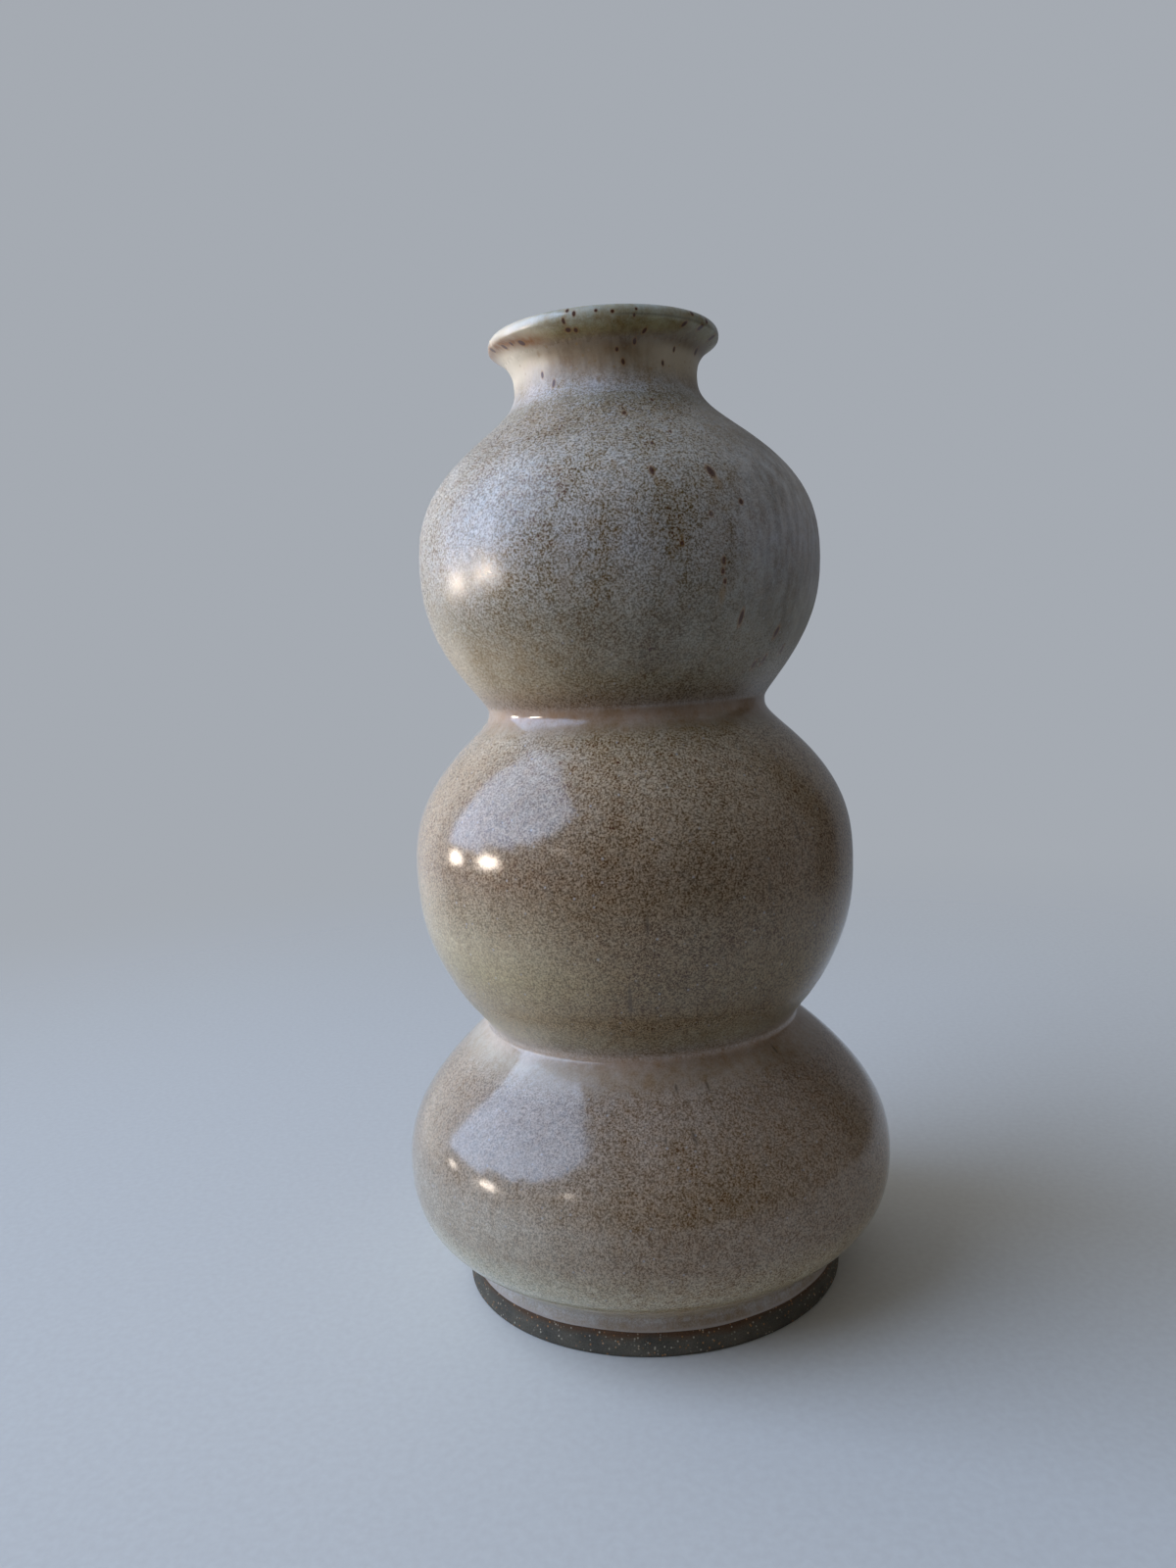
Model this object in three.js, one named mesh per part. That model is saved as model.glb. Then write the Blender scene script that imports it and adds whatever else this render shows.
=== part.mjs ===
// Bubble vase: a hand-thrown stoneware vase of three stacked bulbs on a foot ring, with a flared neck.
// The clay is thrown in sections and luted together with slip, then coated with three glazes:
// a body glaze outside, a rim glaze over the neck and lip, and a liner glaze inside that holds the water.
// Millimetres, +Z up, origin at the middle of the face that the foot rests on.
import * as THREE from "three";

// Outline of the glazed outside, from the foot up
const FOOT_RADIUS = 52.5; // bare clay, at the resting face
const FOOT_TOP_RADIUS = 50.7; // glazed, where the lower bulb springs from the foot
const FOOT_HEIGHT = 8.3;
const LOWER_WAIST_RADIUS = 43.2;
const UPPER_WAIST_RADIUS = 37.7;
const NECK_RADIUS = 24.2; // at its narrowest
const NECK_HEIGHT = 12.8; // from the neck's joint to the top of the lip
const LIP_RADIUS = 30.5;
const LIP_ROLL = 2.4; // radius of the rounded lip in section

// Each bulb has its widest radius and its heights below and above that. The shares say how far its curve
// runs upright: at the cove below, on the belly from below, on the belly from above, at the cove above.
const LOWER_BULB = {
  radius: 67.1, below: 26.9, above: 36.6,
  coveBelow: 0.18, bellyBelow: 0.78, bellyAbove: 0.55, coveAbove: 0.04,
};
const MIDDLE_BULB = {
  radius: 59.9, below: 43.2, above: 41.2,
  coveBelow: 0.08, bellyBelow: 0.69, bellyAbove: 0.67, coveAbove: 0.14,
};
const UPPER_BULB = {
  radius: 53.6, below: 37.9, above: 45.7,
  coveBelow: 0.09, bellyBelow: 0.63, bellyAbove: 0.65, coveAbove: 0.27,
};

// Flare of the neck: slope where it meets the lip, and how far it runs straight at its two ends
const FLARE_SLOPE = THREE.MathUtils.degToRad(70);
const FLARE_UPRIGHT = 7.2;
const FLARE_INTO_LIP = 0.8;
// The throat leaves the lip at this slope, and runs straight this far at its top and at its bottom.
const THROAT_SLOPE = THREE.MathUtils.degToRad(50);
const THROAT_FROM_LIP = 5;
const THROAT_UPRIGHT = 5;

// Thicknesses
const WALL = 5.5; // thrown clay wall
const FLOOR = 8; // clay floor above the foot ring
const FLOOR_FLAT_RADIUS = 36; // the floor sweeps up into the wall beyond this
const FLOOR_SWEEP = 0.6; // fullness of that sweep
const GLAZE = 0.6; // body and rim glaze
const LINER = 0.5; // liner glaze
const SLIP = 1; // each slip joint
const BOND = 0.05; // hairline between a glaze coat and the clay under it

// Foot ring
const FOOT_INNER_RADIUS = 41;
const FOOT_BEVEL = 1; // both edges of the resting face are wiped round
const GLAZE_LINE = 5.8; // the foot is wiped bare of glaze below this height

// Facets
const AROUND = 28;
const HALF_BULB_STEPS = 5;
const FLARE_STEPS = 3;
const LIP_STEPS = 6;

const CLAY_INSIDE = GLAZE + WALL; // depth of the clay's inside face under the glazed surface

const v2 = (radius, height) => new THREE.Vector2(radius, height);

// A station is a point of an outline with the direction that faces away from the clay.
const station = (at, out) => ({ at, out });

// Stations along a curve that keeps the clay on its left.
function trace(curve, steps) {
  const stations = [];
  for (let i = 0; i <= steps; i++) {
    const along = curve.getTangent(i / steps);
    stations.push(station(curve.getPoint(i / steps), v2(along.y, -along.x)));
  }
  return stations;
}

// Runs of stations end to end, each shared end kept once.
const joined = (first, ...rest) => [...first, ...rest.flatMap((run) => run.slice(1))];

// The points that lie a given depth under a run of stations.
const under = (stations, depth) =>
  stations.map(({ at, out }) => at.clone().addScaledVector(out, -depth));

// A run that starts and ends upright, with both end stations facing exactly sideways, so that
// every shell cut there ends in one level face.
function squared(stations) {
  for (const { out } of [stations[0], stations.at(-1)]) {
    out.set(Math.sign(out.x), 0);
  }
  return stations;
}

// Half a bulb, upright at both ends so that it runs smoothly into its neighbours.
function halfBulb(low, high, lowShare, highShare) {
  const rise = high.y - low.y;
  const lowHandle = v2(low.x, low.y + lowShare * rise);
  const highHandle = v2(high.x, high.y - highShare * rise);
  const curve = new THREE.CubicBezierCurve(low, lowHandle, highHandle, high);
  return squared(trace(curve, HALF_BULB_STEPS));
}

// A bulb standing on a point of the outline, drawn in to the next waist.
function bulb(size, foot, waistRadius) {
  const belly = v2(size.radius, foot.y + size.below);
  const top = v2(waistRadius, belly.y + size.above);
  return {
    lowerHalf: halfBulb(foot, belly, size.coveBelow, size.bellyBelow),
    upperHalf: halfBulb(belly, top, size.bellyAbove, size.coveAbove),
    belly,
    top,
  };
}

// The upright band of a slip joint, on top of a section.
function slipBand(low) {
  const top = v2(low.x, low.y + SLIP);
  return { run: trace(new THREE.LineCurve(low, top), 1), top };
}

// The outline, section by section
const lower = bulb(LOWER_BULB, v2(FOOT_TOP_RADIUS, FOOT_HEIGHT), LOWER_WAIST_RADIUS);
const lowerJoint = slipBand(lower.top);
const middle = bulb(MIDDLE_BULB, lowerJoint.top, UPPER_WAIST_RADIUS);
const upperJoint = slipBand(middle.top);
const upper = bulb(UPPER_BULB, upperJoint.top, NECK_RADIUS);
const neckJoint = slipBand(upper.top);

const lowerWall = joined(lower.lowerHalf, lower.upperHalf);
const middleWall = joined(middle.lowerHalf, middle.upperHalf);
const upperWall = joined(upper.lowerHalf, upper.upperHalf);

// The neck's outline flares up to the lip, rolls over it and runs down the throat to the joint again.
function neckRun() {
  const lipCentre = v2(LIP_RADIUS - LIP_ROLL, neckJoint.top.y + NECK_HEIGHT - LIP_ROLL);
  const onLip = (angle) => v2(
    lipCentre.x + LIP_ROLL * Math.cos(angle),
    lipCentre.y + LIP_ROLL * Math.sin(angle),
  );
  const flareAngle = FLARE_SLOPE - Math.PI / 2;
  const throatAngle = THROAT_SLOPE + Math.PI / 2;
  const flareTop = onLip(flareAngle);
  const throatTop = onLip(throatAngle);
  const throatFoot = v2(NECK_RADIUS - CLAY_INSIDE - GLAZE, neckJoint.top.y);
  const flare = new THREE.CubicBezierCurve(
    neckJoint.top,
    v2(NECK_RADIUS, neckJoint.top.y + FLARE_UPRIGHT),
    v2(
      flareTop.x - FLARE_INTO_LIP * Math.cos(FLARE_SLOPE),
      flareTop.y - FLARE_INTO_LIP * Math.sin(FLARE_SLOPE),
    ),
    flareTop,
  );
  const lip = new THREE.EllipseCurve(
    lipCentre.x, lipCentre.y, LIP_ROLL, LIP_ROLL, flareAngle, throatAngle,
  );
  const throat = new THREE.CubicBezierCurve(
    throatTop,
    v2(
      throatTop.x - THROAT_FROM_LIP * Math.cos(THROAT_SLOPE),
      throatTop.y - THROAT_FROM_LIP * Math.sin(THROAT_SLOPE),
    ),
    v2(throatFoot.x, throatFoot.y + THROAT_UPRIGHT),
    throatFoot,
  );
  return squared(
    joined(trace(flare, FLARE_STEPS), trace(lip, LIP_STEPS), trace(throat, FLARE_STEPS)),
  );
}
const neck = neckRun();

// The floor's upper face, flat and then swept up to the belly of the lower bulb.
function floorSweep() {
  const level = FOOT_HEIGHT + FLOOR;
  const wall = v2(lower.belly.x - CLAY_INSIDE, lower.belly.y);
  const reach = wall.x - FLOOR_FLAT_RADIUS;
  const rise = wall.y - level;
  const flat = v2(FLOOR_FLAT_RADIUS, level);
  const sweep = new THREE.CubicBezierCurve(
    flat,
    v2(flat.x + FLOOR_SWEEP * reach, level),
    v2(wall.x, wall.y - FLOOR_SWEEP * rise),
    wall,
  );
  return trace(sweep, HALF_BULB_STEPS).map(({ at, out }) => station(at, out.negate()));
}
const floor = floorSweep();
const floorMiddle = v2(0, FOOT_HEIGHT + FLOOR);

// Bare clay on the outside of the foot ring, which leans in a little to the bulb.
const footSide = (height) =>
  v2(
    THREE.MathUtils.lerp(FOOT_RADIUS, FOOT_TOP_RADIUS - GLAZE, height / FOOT_HEIGHT),
    height,
  );
const glazedFoot = [GLAZE_LINE, FOOT_HEIGHT].map((height) => {
  const clay = footSide(height);
  return station(v2(clay.x + GLAZE, clay.y), v2(1, 0));
});

const vase = new THREE.Group();
vase.name = "bubble_vase";

// A sub-part turned from its outline, which runs up the outside and down the inside.
function turned(name, outline, finish) {
  const geometry = new THREE.LatheGeometry(outline, AROUND).rotateX(Math.PI / 2);
  const material = new THREE.MeshStandardMaterial({ ...finish, metalness: 0 });
  const mesh = new THREE.Mesh(geometry, material);
  mesh.name = name;
  vase.add(mesh);
}

const closed = (outline) => [...outline, outline[0]];

// The outline of a shell between two depths under the glazed surface.
const shell = (stations, outer, inner) =>
  closed([...under(stations, outer), ...under(stations, inner).reverse()]);

// Finishes
const STONEWARE = { color: 0x4a443c, roughness: 0.9 };
const SLIP_CLAY = { color: 0x5c534a, roughness: 0.9 };
const BODY_GLAZE = { color: 0x7f7468, roughness: 0.35 };
const RIM_GLAZE = { color: 0xb9b6b0, roughness: 0.2 };
const LINER_GLAZE = { color: 0xa8a299, roughness: 0.3 };

// Foot ring, luted under the floor
const footJointHeight = FOOT_HEIGHT - SLIP;
turned("foot_ring", closed([
  v2(FOOT_INNER_RADIUS + FOOT_BEVEL, 0),
  v2(FOOT_RADIUS - FOOT_BEVEL, 0),
  footSide(FOOT_BEVEL),
  footSide(footJointHeight),
  v2(FOOT_INNER_RADIUS, footJointHeight),
  v2(FOOT_INNER_RADIUS, FOOT_BEVEL),
]), STONEWARE);
turned("foot_slip_joint", closed([
  v2(FOOT_INNER_RADIUS, footJointHeight),
  footSide(footJointHeight),
  footSide(FOOT_HEIGHT),
  v2(FOOT_INNER_RADIUS, FOOT_HEIGHT),
]), SLIP_CLAY);

// Thrown sections, from the floor to the lip, with the slip between them
const lowerInside = joined(under(floor, 0), under(lower.upperHalf, CLAY_INSIDE));
turned("lower_bulb", [
  v2(0, FOOT_HEIGHT),
  ...under(lowerWall, GLAZE),
  ...lowerInside.reverse(),
  floorMiddle,
], STONEWARE);
turned("lower_waist_slip_joint", shell(lowerJoint.run, GLAZE, CLAY_INSIDE), SLIP_CLAY);
turned("middle_bulb", shell(middleWall, GLAZE, CLAY_INSIDE), STONEWARE);
turned("upper_waist_slip_joint", shell(upperJoint.run, GLAZE, CLAY_INSIDE), SLIP_CLAY);
turned("upper_bulb", shell(upperWall, GLAZE, CLAY_INSIDE), STONEWARE);
turned("neck_slip_joint", shell(neckJoint.run, GLAZE, CLAY_INSIDE), SLIP_CLAY);
turned("neck_and_lip", closed(under(neck, GLAZE)), STONEWARE);

// Glaze coats
const outside = joined(
  glazedFoot, lowerWall, lowerJoint.run, middleWall, upperJoint.run, upperWall, neckJoint.run,
);
turned("body_glaze", shell(outside, 0, GLAZE - BOND), BODY_GLAZE);
turned("rim_glaze", shell(neck, 0, GLAZE - BOND), RIM_GLAZE);

const insideWall = joined(
  lower.upperHalf, lowerJoint.run, middleWall, upperJoint.run, upperWall, neckJoint.run,
);
turned("liner_glaze", [
  v2(0, floorMiddle.y + BOND),
  ...joined(under(floor, -BOND), under(insideWall, CLAY_INSIDE + BOND)),
  ...joined(under(floor, -LINER), under(insideWall, CLAY_INSIDE + LINER)).reverse(),
  v2(0, floorMiddle.y + LINER),
], LINER_GLAZE);

export default vase;
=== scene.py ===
import math

import bpy
from mathutils import Matrix, Vector


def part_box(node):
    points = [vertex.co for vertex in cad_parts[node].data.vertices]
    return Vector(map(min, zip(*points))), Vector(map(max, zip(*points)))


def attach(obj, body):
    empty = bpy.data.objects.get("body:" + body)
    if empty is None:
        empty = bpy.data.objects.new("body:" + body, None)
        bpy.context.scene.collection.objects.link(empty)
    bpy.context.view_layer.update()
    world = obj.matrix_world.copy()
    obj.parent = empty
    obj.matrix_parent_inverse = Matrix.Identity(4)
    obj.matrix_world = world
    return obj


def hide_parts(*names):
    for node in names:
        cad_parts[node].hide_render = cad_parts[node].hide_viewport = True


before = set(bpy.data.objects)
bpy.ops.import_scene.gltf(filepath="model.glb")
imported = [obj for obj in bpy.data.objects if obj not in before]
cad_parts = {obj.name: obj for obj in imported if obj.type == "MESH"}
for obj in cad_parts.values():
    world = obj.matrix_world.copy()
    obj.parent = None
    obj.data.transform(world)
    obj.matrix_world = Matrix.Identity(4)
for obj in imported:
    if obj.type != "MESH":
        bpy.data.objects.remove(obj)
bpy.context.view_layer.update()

# Foot ring
# A ring of dark stoneware under the lowest bulb. It is turned on the wheel when leather hard, luted on with
# slip, and wiped clean of glaze up to a line, so that the vase stands on bare clay.

MM = 0.001
MOUTH_LEAN = -1.2 * MM  # the mouth has moved this far sideways in drying
LEAN_FROM, LEAN_OVER = 196 * MM, 60 * MM  # from the upper belly to the lip
OVAL = 0.16 * MM  # how far the rings of the pot are out of round
OVAL_TWIST, THREE_TWIST = 40 * MM, 25 * MM  # height over which that turns by a radian
TRUE_WITHIN = 20 * MM  # the unevenness dies out towards the axis from this radius
SWELL, SWELL_PITCH = 0.1 * MM, 27 * MM  # slow unevenness up the wall
FINGER, FINGER_PITCH = 0.012 * MM, 4.6 * MM  # spiral that the fingers leave
SIDES = 192
SEEN_SHARE = 0.94  # of the height of a piece's texture map, for what faces the eye
SHARP = math.radians(50)  # an edge that turns by more than this shows as a crease


def smooth(share):
    share = min(max(share, 0), 1)
    return share * share * (3 - 2 * share)


def thrown(radius, angle, height):
    """Where a point of a turned outline lies on the finished pot, which is thrown by hand and uneven."""
    oval = math.cos(2 * angle + height / OVAL_TWIST) + 0.5 * math.cos(3 * angle + 1 - height / THREE_TWIST)
    swell = math.sin(math.tau * height / SWELL_PITCH + math.sin(angle) + math.pi)
    finger = math.sin(math.tau * height / FINGER_PITCH + angle)
    uneven = OVAL * oval + SWELL * swell + FINGER * finger
    radius += uneven * smooth(radius / TRUE_WITHIN)
    lean = MOUTH_LEAN * smooth((height - LEAN_FROM) / LEAN_OVER)
    return lean + radius * math.cos(angle), radius * math.sin(angle), height


def turn(name, seen, hidden, settle=thrown):
    """Turns a closed outline into a piece: first the run that faces the eye, then the run that is covered.
    Both are lists of radius and height, up the outside and down the inside."""
    outline = [*seen, *hidden]
    lengths = [(b - a).length for a, b in zip(outline, [*outline[1:], outline[0]])]
    seen_length = sum(lengths[:len(seen) - 1])
    hidden_length = sum(lengths[len(seen) - 1:])
    places = [0]
    for number, length in enumerate(lengths):
        in_seen = number < len(seen) - 1
        share = SEEN_SHARE / seen_length if in_seen else (1 - SEEN_SHARE) / hidden_length
        places.append(places[-1] + length * share)
    corners, rows = [], []
    for radius, height in outline:
        count = SIDES if radius > 0 else 1
        rows.append([len(corners) + i for i in range(count)])
        for i in range(count):
            corners.append(settle(radius, math.tau * (i / SIDES + 0.25), height))
    faces, map_corners = [], []
    for number, low in enumerate(rows):
        high = rows[(number + 1) % len(rows)]
        if len(low) == len(high) == 1:
            continue
        v_low, v_high = places[number], places[number + 1]
        for i in range(SIDES):
            u, next_u, j = i / SIDES, (i + 1) / SIDES, (i + 1) % SIDES
            if len(low) == 1:
                faces.append((low[0], high[j], high[i]))
                map_corners += [(u, v_low), (next_u, v_high), (u, v_high)]
            elif len(high) == 1:
                faces.append((low[i], low[j], high[0]))
                map_corners += [(u, v_low), (next_u, v_low), (u, v_high)]
            else:
                faces.append((low[i], low[j], high[j], high[i]))
                map_corners += [(u, v_low), (next_u, v_low), (next_u, v_high), (u, v_high)]
    mesh = bpy.data.meshes.new(name)
    mesh.from_pydata(corners, [], faces)
    flat_map = mesh.uv_layers.new(name="OFBake")
    flat_map.data.foreach_set("uv", [value for corner in map_corners for value in corner])
    mesh.polygons.foreach_set("use_smooth", [True] * len(faces))
    mesh.set_sharp_from_angle(angle=SHARP)
    piece = bpy.data.objects.new(name, mesh)
    bpy.context.scene.collection.objects.link(piece)
    return piece


def rings_of(node):
    """Radius and height of every corner of a CAD node, the narrowest first."""
    places = [corner.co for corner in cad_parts[node].data.vertices]
    rings = [Vector((place.to_2d().length, place.z)) for place in places]
    return sorted(rings, key=lambda ring: ring.x)


def run(start, end, steps):
    """Evenly spaced points of a straight run, both ends kept."""
    return [start.lerp(end, i / steps) for i in range(steps + 1)]


def rounded(corner, before, after, size, steps=5):
    """Points round a corner of an outline, from the side towards before to the side towards after."""
    start = corner + (before - corner).normalized() * size
    end = corner + (after - corner).normalized() * size
    shares = [i / steps for i in range(steps + 1)]
    return [start.lerp(corner, share).lerp(corner.lerp(end, share), share) for share in shares]


foot_inner, foot_widest = rings_of("foot_ring")[0].x, rings_of("foot_ring")[-1]
foot_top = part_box("foot_ring")[1].z
slip_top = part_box("foot_slip_joint")[1].z
foot_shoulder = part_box("lower_bulb")[0].z  # the bulb springs from the foot at this height
CLOSE = 0.01 * MM
bulb_foot_radius = [ring.x for ring in rings_of("lower_bulb") if ring.y < foot_shoulder + CLOSE][-1]
FOOT_EDGE = 1.3 * MM  # both edges of the resting face are wiped round


def foot_side(height):
    up = (height - foot_widest.y) / (foot_shoulder - foot_widest.y)
    return Vector((foot_widest.x + (bulb_foot_radius - foot_widest.x) * up, height))


resting_inner, resting_outer = Vector((foot_inner, 0)), foot_side(0)
inner_top = Vector((foot_inner, foot_top))
foot_ring = turn(
    "foot_ring",
    [
        *run(inner_top, Vector((foot_inner, FOOT_EDGE)), 6)[:-1],
        *rounded(resting_inner, inner_top, resting_outer, FOOT_EDGE),
        *run(resting_inner, resting_outer, 10)[2:-2],
        *rounded(resting_outer, resting_inner, foot_side(foot_top), FOOT_EDGE),
        *[foot_side(FOOT_EDGE + (foot_top - FOOT_EDGE) * i / 6) for i in range(1, 7)],
    ],
    [],
)


def linear(shade):
    """Linear red, green, blue and alpha from an sRGB hex colour."""
    parts = [int(shade[i:i + 2], 16) / 255 for i in (1, 3, 5)]
    return [c / 12.92 if c <= 0.04045 else ((c + 0.055) / 1.055) ** 2.4 for c in parts] + [1]


def put(tree, kind, inputs, stops=(), **settings):
    """Adds one node. Each input is a value, or the node or socket that feeds it; stops fill a ramp."""
    made = tree.nodes.new("ShaderNode" + kind)
    for name, value in settings.items():
        setattr(made, name, value)
    for place, source in inputs.items():
        source = source.outputs[0] if isinstance(source, bpy.types.Node) else source
        if isinstance(source, bpy.types.NodeSocket):
            tree.links.new(source, made.inputs[place])
        else:
            made.inputs[place].default_value = source
    for number, (place, shade) in enumerate(stops):
        ramp = made.color_ramp.elements
        stop = ramp[number] if number < 2 else ramp.new(place)
        stop.position = place
        shares = shade if isinstance(shade, tuple) else (shade,) * 3
        stop.color = linear(shade) if isinstance(shade, str) else (*shares, 1)
    return made


def eased(tree, value, start, end, low=0, high=1):
    """Goes softly from low to high while the value goes from start to end."""
    ends = {0: value, 1: start, 2: end, 3: low, 4: high}
    return put(tree, "MapRange", ends, interpolation_type="SMOOTHSTEP")


def scaled(tree, value, start, end, low, high, **settings):
    """Goes evenly from low to high while the value goes from start to end."""
    return put(tree, "MapRange", {0: value, 1: start, 2: end, 3: low, 4: high}, **settings)


def product(tree, first, second):
    return put(tree, "Math", {0: first, 1: second}, operation="MULTIPLY")


def noise(tree, where, size, detail):
    """A cloudy pattern with lumps of one size."""
    return put(tree, "TexNoise", {"Vector": where, "Scale": 1 / size, "Detail": detail}).outputs["Fac"]


def painted(tree, share, below, shade):
    """A share of one colour laid over another."""
    return put(tree, "MixRGB", {"Fac": share, 1: below, 2: linear(shade)})


def finish(name):
    """A new material with nothing in it yet."""
    made = bpy.data.materials.new(name)
    made.use_nodes = True
    made.node_tree.nodes.clear()
    return made


# Trimmed stoneware, fired bare: a dry dark grey-brown body. Turning drags grit along and leaves fine level
# lines and pits, pale and rusty grog shows as specks, and the fire flashes it rust-brown under the glaze.
bare_clay = finish("trimmed_bare_stoneware")
tree = bare_clay.node_tree
place = put(tree, "TexCoord", {}).outputs["Object"]
height = put(tree, "SeparateXYZ", {0: place}).outputs["Z"]
flat = put(tree, "VectorMath", {0: place, 1: (1, 1, 0)}, operation="MULTIPLY")
from_axis = put(tree, "VectorMath", {0: flat}, operation="LENGTH").outputs["Value"]
TURNING_LINE, GRIT, GROG, CLOUD = 0.7 * MM, 0.35 * MM, 0.8 * MM, 9 * MM
turning = put(tree, "CombineXYZ", {0: from_axis, 2: height})
lines = noise(tree, turning, TURNING_LINE, 2)
grit = noise(tree, place, GRIT, 3)
cloud = noise(tree, place, CLOUD, 3)
body = put(tree, "ValToRGB", {0: cloud}, stops=[(0.3, "#57534b"), (0.5, "#686357"), (0.7, "#756e61")])
FLASH_FROM, FLASH_FULL, FLASH_WANDER = 4.9 * MM, 7.1 * MM, 3 * MM
flash_up = put(tree, "Math", {0: product(tree, cloud, FLASH_WANDER), 1: height})
flash = eased(tree, flash_up, FLASH_FROM, FLASH_FULL, 0, 0.9)
FLASH_OUTSIDE = foot_inner + 5 * MM  # only the outer side of the ring met the flame
outer_side = put(tree, "Math", {0: from_axis, 1: FLASH_OUTSIDE}, operation="GREATER_THAN")
flash_share = product(tree, flash, outer_side)
flashed = painted(tree, flash_share, body, "#6a4a2e")
gritted = put(
    tree, "MixRGB", {"Fac": grit, 1: flashed, 2: linear("#5a554c")}, blend_type="SOFT_LIGHT",
)
grog = put(tree, "TexVoronoi", {"Vector": place, "Scale": 1 / GROG})
kind = put(tree, "SeparateColor", {0: grog.outputs["Color"]})
grain = eased(tree, grog.outputs["Distance"], 0.36, 0.2)
pale_kind = scaled(tree, kind.outputs[0], 0.6, 0.9, 0, 0.9)
rusty_kind = scaled(tree, kind.outputs[1], 0.72, 0.9, 0, 0.9)
pale_share = product(tree, grain, pale_kind)
rusty_share = product(tree, grain, rusty_kind)
with_pale = painted(tree, pale_share, gritted, "#b4ab97")
with_rusty = painted(tree, rusty_share, with_pale, "#b07a48")
TOOTH = 0.09 * MM  # depth of the lines and the grit
dip = put(tree, "Math", {0: product(tree, grit, 0.5), 1: lines})
relief = put(tree, "Bump", {"Strength": 1.0, "Distance": TOOTH, "Height": dip})
dryness = scaled(tree, lines, 0.3, 0.7, 0.62, 0.85)
surface = put(
    tree, "BsdfPrincipled",
    {
        "Base Color": with_rusty, "Roughness": dryness, "IOR": 1.5, "Specular IOR Level": 0.35,
        "Normal": relief,
    },
)
put(tree, "OutputMaterial", {0: surface})

foot_ring.data.materials.append(bare_clay)
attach(foot_ring, "root")
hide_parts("foot_ring")

# Slip joint of the foot
# A thin bed of the same clay, let down to a cream, that bonds the ring under the floor. It shows only inside
# the ring, where a little of it was squeezed out and left.

SQUEEZED = 0.25 * MM  # how far the bead of slip stands out inside the ring
BEAD_ROWS = 6
bead = [
    at - Vector((SQUEEZED * math.sin(math.pi * i / BEAD_ROWS), 0))
    for i, at in enumerate(run(Vector((foot_inner, slip_top)), inner_top, BEAD_ROWS))
]
foot_slip = turn("foot_slip_joint", bead, run(foot_side(foot_top), foot_side(slip_top), 2))

# Joining slip, brushed on and fired bare: smoother and a little paler than the thrown clay, with no grog.
slip_clay = finish("brushed_joining_slip")
tree = slip_clay.node_tree
place = put(tree, "TexCoord", {}).outputs["Object"]
BRUSHED, BRUSH_DEPTH = 1.2 * MM, 0.03 * MM
stroke = noise(tree, place, BRUSHED, 3)
shade = put(tree, "ValToRGB", {0: stroke}, stops=[(0.35, "#544c43"), (0.65, "#665e54")])
relief = put(tree, "Bump", {"Strength": 1.0, "Distance": BRUSH_DEPTH, "Height": stroke})
dryness = scaled(tree, stroke, 0.3, 0.7, 0.7, 0.85)
surface = put(
    tree, "BsdfPrincipled", {"Base Color": shade, "Roughness": dryness, "IOR": 1.5, "Normal": relief},
)
put(tree, "OutputMaterial", {0: surface})

foot_slip.data.materials.append(slip_clay)
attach(foot_slip, "root")
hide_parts("foot_slip_joint")

# Lower bulb
# The lowest thrown section, with the floor of the pot. Its wall swells out from the foot to the widest belly
# of all and is drawn in to the first waist. Its underside shows bare inside the foot ring.

HALF_BULB_ROWS = 34
glaze_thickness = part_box("body_glaze")[1].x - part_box("lower_bulb")[1].x


def station_run(start, start_handle, end_handle, end, rows):
    """Points along a smooth curve of the outline, each with the direction that faces away from the clay."""
    stations = []
    for i in range(rows + 1):
        t = i / rows
        low, high = start.lerp(start_handle, t), end_handle.lerp(end, t)
        middle = start_handle.lerp(end_handle, t)
        low, high = low.lerp(middle, t), middle.lerp(high, t)
        at, along = low.lerp(high, t), (high - low).normalized()
        stations.append((at, Vector((along.y, -along.x))))
    return stations


def half_bulb(low, high, low_share, high_share):
    """Half of a bulb's outline, upright at both ends."""
    rise = Vector((0, high.y - low.y))
    return station_run(low, low + low_share * rise, high - high_share * rise, high, HALF_BULB_ROWS)


def under(stations, depth):
    return [at - depth * out for at, out in stations]


def joined(first, *rest):
    return [*first, *(station for more in rest for station in more[1:])]


def waist_of(node):
    """Lower and upper end of a slip joint's band, on the glazed outside."""
    low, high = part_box(node)
    return Vector((high.x + glaze_thickness, low.z)), Vector((high.x + glaze_thickness, high.z))


def belly_of(node):
    return rings_of(node)[-1] + Vector((glaze_thickness, 0))


lower_spring = Vector((bulb_foot_radius + glaze_thickness, foot_shoulder))
lower_belly = belly_of("lower_bulb")
lower_waist = waist_of("lower_waist_slip_joint")
lower_rise = half_bulb(lower_spring, lower_belly, 0.18, 0.78)
lower_close = half_bulb(lower_belly, lower_waist[0], 0.55, 0.04)
lower_wall = joined(lower_rise, lower_close)
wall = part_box("lower_waist_slip_joint")[1].x - rings_of("lower_waist_slip_joint")[0].x
clay_inside = glaze_thickness + wall  # depth of the clay's inside face under the glazed surface

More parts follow.
